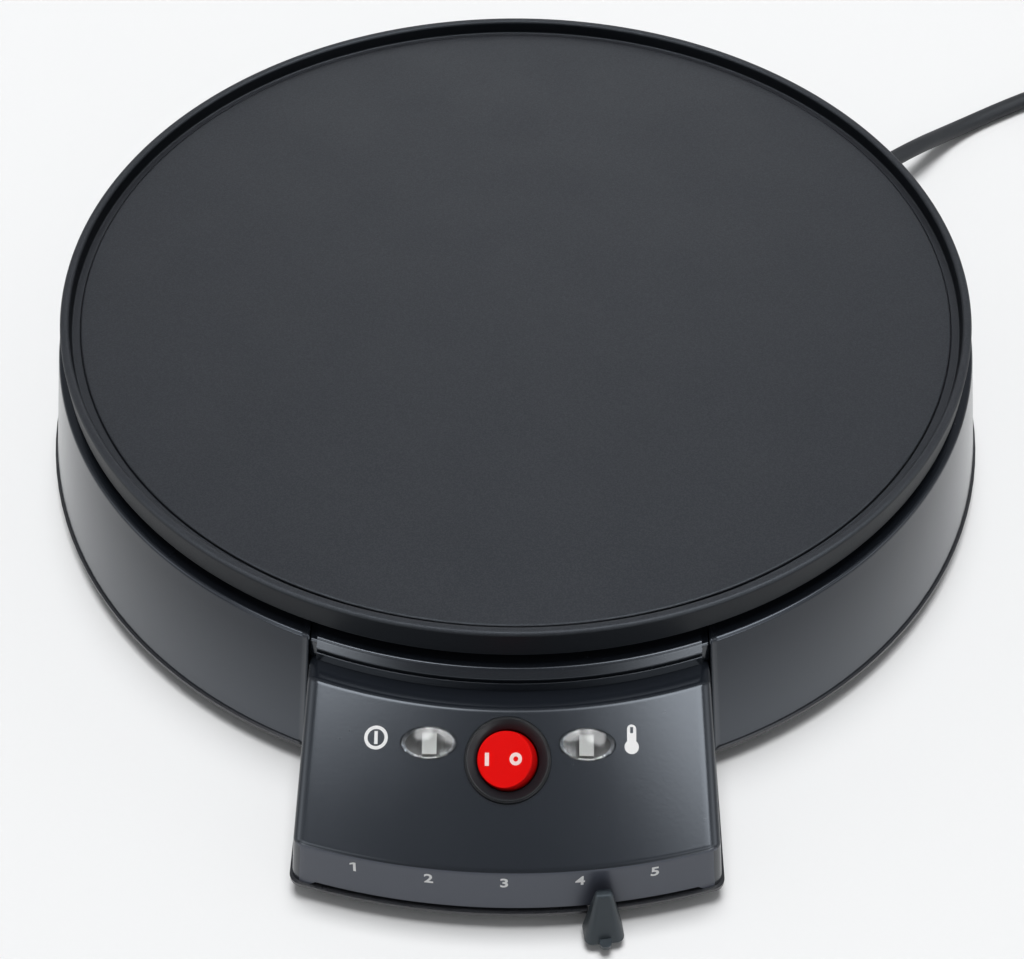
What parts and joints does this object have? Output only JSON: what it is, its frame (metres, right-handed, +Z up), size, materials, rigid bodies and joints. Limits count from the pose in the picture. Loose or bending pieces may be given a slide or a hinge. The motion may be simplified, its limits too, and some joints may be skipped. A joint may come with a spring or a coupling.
{
  "type": "electric crepe maker",
  "caption": "Round countertop crepe maker: a flat non-stick hotplate on a glossy drum, with a front control pod holding a rocker switch, two lamps and a temperature lever, and a mains cord.",
  "frame": {"origin": "on the surface that the feet stand on, at the middle of the body's length and width, lever knob included and cord left out", "axes": "+Z up through the hotplate; +Y from the control pod at the front to the back of the drum; +X to the user's right"},
  "size_m": [0.5048, 0.4451, 0.0671],
  "materials": {
    "hotplate_coating": "satin non-stick coating on cast aluminium",
    "element_sheath": "heat-dulled sheath",
    "plated_steel": "zinc plated",
    "reflector_sheet": "mill finish",
    "black_gloss": "polished black moulding",
    "black_cover": "fine matt black moulding",
    "black_rubber": "matt black",
    "ceramic": "glazed off-white ceramic",
    "brass": "turned brass",
    "black_knob": "satin black",
    "black_bezel": "satin black",
    "red_gloss": "polished red",
    "clear_lens": "clear polycarbonate, used as glass",
    "lamp_glass": "neon indicator glass",
    "ivory_plastic": "nylon",
    "lead_sleeve": "braided glass-fibre sleeve",
    "tie_plastic": "soft black",
    "plug_plastic": "satin black",
    "fuse_carrier_plastic": "satin dark red"
  },
  "bodies": {
    "root": {"base_cover": "black_cover", "control_housing": "black_gloss", "cord_clamp": "black_cover", "cord_clamp_screws": "plated_steel", "cord_coil": "black_rubber", "cord_inner_end": "black_rubber", "cord_tie": "tie_plastic", "drum_housing": "black_gloss", "earth_screw": "brass", "element_terminals": "plated_steel", "foot_screws": "plated_steel", "fuse_clip": "plated_steel", "heat_reflector": "reflector_sheet", "heating_element": "element_sheath", "hotplate": "hotplate_coating", "hotplate_screws": "plated_steel", "hotplate_spacers": "plated_steel", "indicator_lamps": "lamp_glass", "internal_leads": "lead_sleeve", "plug_body": "plug_plastic", "plug_fuse_carrier": "fuse_carrier_plastic", "plug_lead": "black_rubber", "plug_pins": "brass", "pod_screws": "plated_steel", "power_cord": "black_rubber", "power_lens": "clear_lens", "ready_lens": "clear_lens", "rubber_feet": "black_rubber", "strain_relief": "black_rubber", "switch_body": "black_bezel", "switch_terminals": "brass", "terminal_block": "ivory_plastic", "terminal_screws": "plated_steel", "thermal_fuse": "plated_steel", "thermostat_body": "ceramic", "thermostat_bracket": "plated_steel", "thermostat_bush": "brass", "thermostat_screws": "plated_steel", "thermostat_terminals": "brass"},
    "temperature_lever": {"thermostat_spindle": "brass", "lever_arm": "plated_steel", "lever_knob": "black_knob"},
    "rocker": {"rocker_button": "red_gloss"}
  },
  "joints": [
    {"name": "temperature_lever_turn", "type": "hinge", "parent": "root", "child": "temperature_lever", "pos_m": [0, 0.02674, 0.0084], "axis": [0, 0, 1], "range_deg": [-21.5, 6.5]},
    {"name": "rocker_tilt", "type": "hinge", "parent": "root", "child": "rocker", "pos_m": [0, -0.15314, 0.03767], "axis": [0, 0.9028, 0.4301], "range_deg": [0, 22]}
  ]
}
